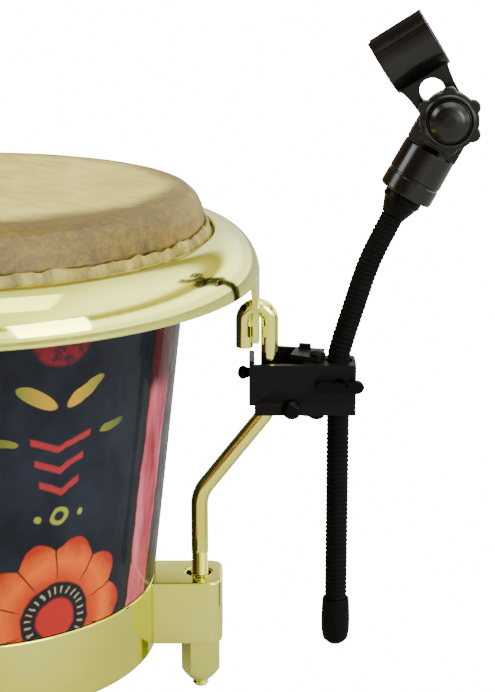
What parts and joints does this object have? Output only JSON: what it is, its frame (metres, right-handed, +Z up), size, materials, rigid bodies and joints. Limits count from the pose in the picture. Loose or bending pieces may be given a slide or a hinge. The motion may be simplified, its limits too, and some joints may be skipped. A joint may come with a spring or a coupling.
{
  "type": "bongo drums",
  "caption": "Pair of tapered hand drums with stretched skins, hooked tuning rods and a joining block, with a gooseneck microphone holder clamped to one rod.",
  "frame": {"origin": "on the surface that the set stands on, under the middle of the whole assembly's box", "axes": "+Z up, +X along the line through both drums from the large drum to the small one, +Y across them"},
  "size_m": [0.5568, 0.2868, 0.2797],
  "materials": {
    "gold_plate": "bright pale gold plating over steel and cast parts",
    "shell_lacquer": "glossy clear lacquer over a dark painted decoration",
    "rawhide": "natural stretched rawhide, satin",
    "bridge_wood": "black gloss lacquer",
    "black_paint": "black powder coat",
    "black_plastic": "black moulded plastic, slightly shiny",
    "black_rubber": "matt black",
    "zinc_steel": "zinc-plated steel"
  },
  "bodies": {
    "drums": {"bridge_block": "bridge_wood", "macho_shell": "shell_lacquer", "macho_head": "rawhide", "macho_bottom_ring": "gold_plate", "macho_bridge_plate": "zinc_steel", "macho_bridge_bolt_lower": "zinc_steel", "macho_bridge_bolt_upper": "zinc_steel", "hembra_shell": "shell_lacquer", "hembra_head": "rawhide", "hembra_bottom_ring": "gold_plate", "hembra_bridge_plate": "zinc_steel", "hembra_bridge_bolt_lower": "zinc_steel", "hembra_bridge_bolt_upper": "zinc_steel"},
    "macho_tuning": {"macho_rim": "gold_plate", "macho_flesh_hoop": "zinc_steel", "macho_tuning_rod_1": "gold_plate", "macho_tuning_rod_2": "gold_plate", "macho_tuning_rod_3": "gold_plate", "macho_tuning_rod_4": "gold_plate"},
    "macho_nut_1": {"macho_tuning_nut_1": "gold_plate"},
    "macho_nut_2": {"macho_tuning_nut_2": "gold_plate"},
    "macho_nut_3": {"macho_tuning_nut_3": "gold_plate"},
    "macho_nut_4": {"macho_tuning_nut_4": "gold_plate"},
    "hembra_tuning": {"hembra_rim": "gold_plate", "hembra_flesh_hoop": "zinc_steel", "hembra_tuning_rod_1": "gold_plate", "hembra_tuning_rod_2": "gold_plate", "hembra_tuning_rod_3": "gold_plate", "hembra_tuning_rod_4": "gold_plate"},
    "hembra_nut_1": {"hembra_tuning_nut_1": "gold_plate"},
    "hembra_nut_2": {"hembra_tuning_nut_2": "gold_plate"},
    "hembra_nut_3": {"hembra_tuning_nut_3": "gold_plate"},
    "hembra_nut_4": {"hembra_tuning_nut_4": "gold_plate"},
    "clamp": {"clamp_front_jaw": "black_paint", "clamp_saddle": "black_rubber", "clamp_pivot_pin": "black_paint", "clamp_saddle_screw": "black_paint"},
    "clamp_rear": {"clamp_rear_jaw": "black_paint"},
    "rod_screw": {"clamp_rod_screw": "black_paint"},
    "thumb_screw": {"clamp_thumb_screw": "black_paint"},
    "neck": {"neck_lower": "black_rubber", "neck_end_cap": "black_rubber"},
    "neck_link_1": {"neck_segment_1": "black_rubber"},
    "neck_link_2": {"neck_segment_2": "black_rubber"},
    "neck_link_3": {"neck_segment_3": "black_rubber", "neck_top_fitting": "black_paint"},
    "clip": {"clip_socket": "black_plastic", "clip_thread_insert": "zinc_steel", "clip_bolt": "zinc_steel"},
    "cradle": {"clip_cradle": "black_plastic"},
    "knob": {"clip_knob": "black_plastic"}
  },
  "joints": [
    {"name": "macho_tuning_slide", "type": "slide", "parent": "drums", "child": "macho_tuning", "axis": [0, 0, -1], "range_m": [-0.0025, 0.00125]},
    {"name": "macho_nut_1_spin", "type": "hinge", "parent": "drums", "child": "macho_nut_1", "pos_m": [0.18998, 0.06154, 0.0155], "axis": [0, 0, 1], "range_deg": [-720, 360]},
    {"name": "macho_nut_2_spin", "type": "hinge", "parent": "drums", "child": "macho_nut_2", "pos_m": [0.05506, 0.06154, 0.0155], "axis": [0, 0, 1], "range_deg": [-720, 360]},
    {"name": "macho_nut_3_spin", "type": "hinge", "parent": "drums", "child": "macho_nut_3", "pos_m": [0.05506, -0.07338, 0.0155], "axis": [0, 0, 1], "range_deg": [-720, 360]},
    {"name": "macho_nut_4_spin", "type": "hinge", "parent": "drums", "child": "macho_nut_4", "pos_m": [0.18998, -0.07338, 0.0155], "axis": [0, 0, 1], "range_deg": [-720, 360]},
    {"name": "hembra_tuning_slide", "type": "slide", "parent": "drums", "child": "hembra_tuning", "axis": [0, 0, -1], "range_m": [-0.0025, 0.00125]},
    {"name": "hembra_nut_1_spin", "type": "hinge", "parent": "drums", "child": "hembra_nut_1", "pos_m": [-0.06225, 0.07271, 0.0155], "axis": [0, 0, 1], "range_deg": [-720, 360]},
    {"name": "hembra_nut_2_spin", "type": "hinge", "parent": "drums", "child": "hembra_nut_2", "pos_m": [-0.21951, 0.07271, 0.0155], "axis": [0, 0, 1], "range_deg": [-720, 360]},
    {"name": "hembra_nut_3_spin", "type": "hinge", "parent": "drums", "child": "hembra_nut_3", "pos_m": [-0.21951, -0.08455, 0.0155], "axis": [0, 0, 1], "range_deg": [-720, 360]},
    {"name": "hembra_nut_4_spin", "type": "hinge", "parent": "drums", "child": "hembra_nut_4", "pos_m": [-0.06225, -0.08455, 0.0155], "axis": [0, 0, 1], "range_deg": [-720, 360]},
    {"name": "clamp_swing", "type": "hinge", "parent": "macho_tuning", "child": "clamp", "pos_m": [0.21006, 0.08162, 0.1305], "axis": [0, 0, 1], "range_deg": [-80, 80]},
    {"name": "rear_jaw_hinge", "type": "hinge", "parent": "clamp", "child": "clamp_rear", "pos_m": [0.22349, 0.09506, 0.1305], "axis": [0, 0, 1], "range_deg": [-5, 13.5]},
    {"name": "rod_screw_spin", "type": "hinge", "parent": "clamp", "child": "rod_screw", "pos_m": [0.20596, 0.07752, 0.1359], "axis": [-0.7071, -0.7071, 0], "range_deg": [-720, 90]},
    {"name": "thumb_screw_spin", "type": "hinge", "parent": "clamp", "child": "thumb_screw", "pos_m": [0.2353, 0.09555, 0.1331], "axis": [0.7071, -0.7071, 0], "range_deg": [-720, 90]},
    {"name": "neck_slide", "type": "slide", "parent": "clamp", "child": "neck", "axis": [0, 0, 1], "range_m": [0, 0.07]},
    {"name": "neck_bend_1", "type": "hinge", "parent": "neck", "child": "neck_link_1", "pos_m": [0.22964, 0.10121, 0.1433], "axis": [-0.7071, 0.7071, 0], "range_deg": [-17, 19]},
    {"name": "neck_bend_2", "type": "hinge", "parent": "neck_link_1", "child": "neck_link_2", "pos_m": [0.23353, 0.10509, 0.16249], "axis": [-0.7071, 0.7071, 0], "range_deg": [-17, 19]},
    {"name": "neck_bend_3", "type": "hinge", "parent": "neck_link_2", "child": "neck_link_3", "pos_m": [0.2379, 0.10946, 0.18146], "axis": [-0.7071, 0.7071, 0], "range_deg": [-17, 19]},
    {"name": "clip_swivel", "type": "hinge", "parent": "neck_link_3", "child": "clip", "pos_m": [0.24732, 0.11889, 0.2083], "axis": [0.3396, 0.3396, 0.8771], "range_deg": [-180, 180]},
    {"name": "clip_tilt", "type": "hinge", "parent": "clip", "child": "cradle", "pos_m": [0.2589, 0.13046, 0.23821], "axis": [-0.6384, 0.7681, -0.0502], "range_deg": [-40, 150]},
    {"name": "clip_knob_spin", "type": "hinge", "parent": "clip", "child": "knob", "pos_m": [0.2589, 0.13046, 0.23821], "axis": [0.6384, -0.7681, 0.0502], "range_deg": [-720, 90]}
  ],
  "couplings": [
    {"joint": "macho_nut_1_spin", "follows": "macho_tuning_slide", "rad_per_m": 5026},
    {"joint": "macho_nut_2_spin", "follows": "macho_tuning_slide", "rad_per_m": 5026},
    {"joint": "macho_nut_3_spin", "follows": "macho_tuning_slide", "rad_per_m": 5026},
    {"joint": "macho_nut_4_spin", "follows": "macho_tuning_slide", "rad_per_m": 5026},
    {"joint": "hembra_nut_1_spin", "follows": "hembra_tuning_slide", "rad_per_m": 5026},
    {"joint": "hembra_nut_2_spin", "follows": "hembra_tuning_slide", "rad_per_m": 5026},
    {"joint": "hembra_nut_3_spin", "follows": "hembra_tuning_slide", "rad_per_m": 5026},
    {"joint": "hembra_nut_4_spin", "follows": "hembra_tuning_slide", "rad_per_m": 5026},
    {"joint": "neck_bend_2", "follows": "neck_bend_1", "ratio": 1},
    {"joint": "neck_bend_3", "follows": "neck_bend_1", "ratio": 1}
  ]
}
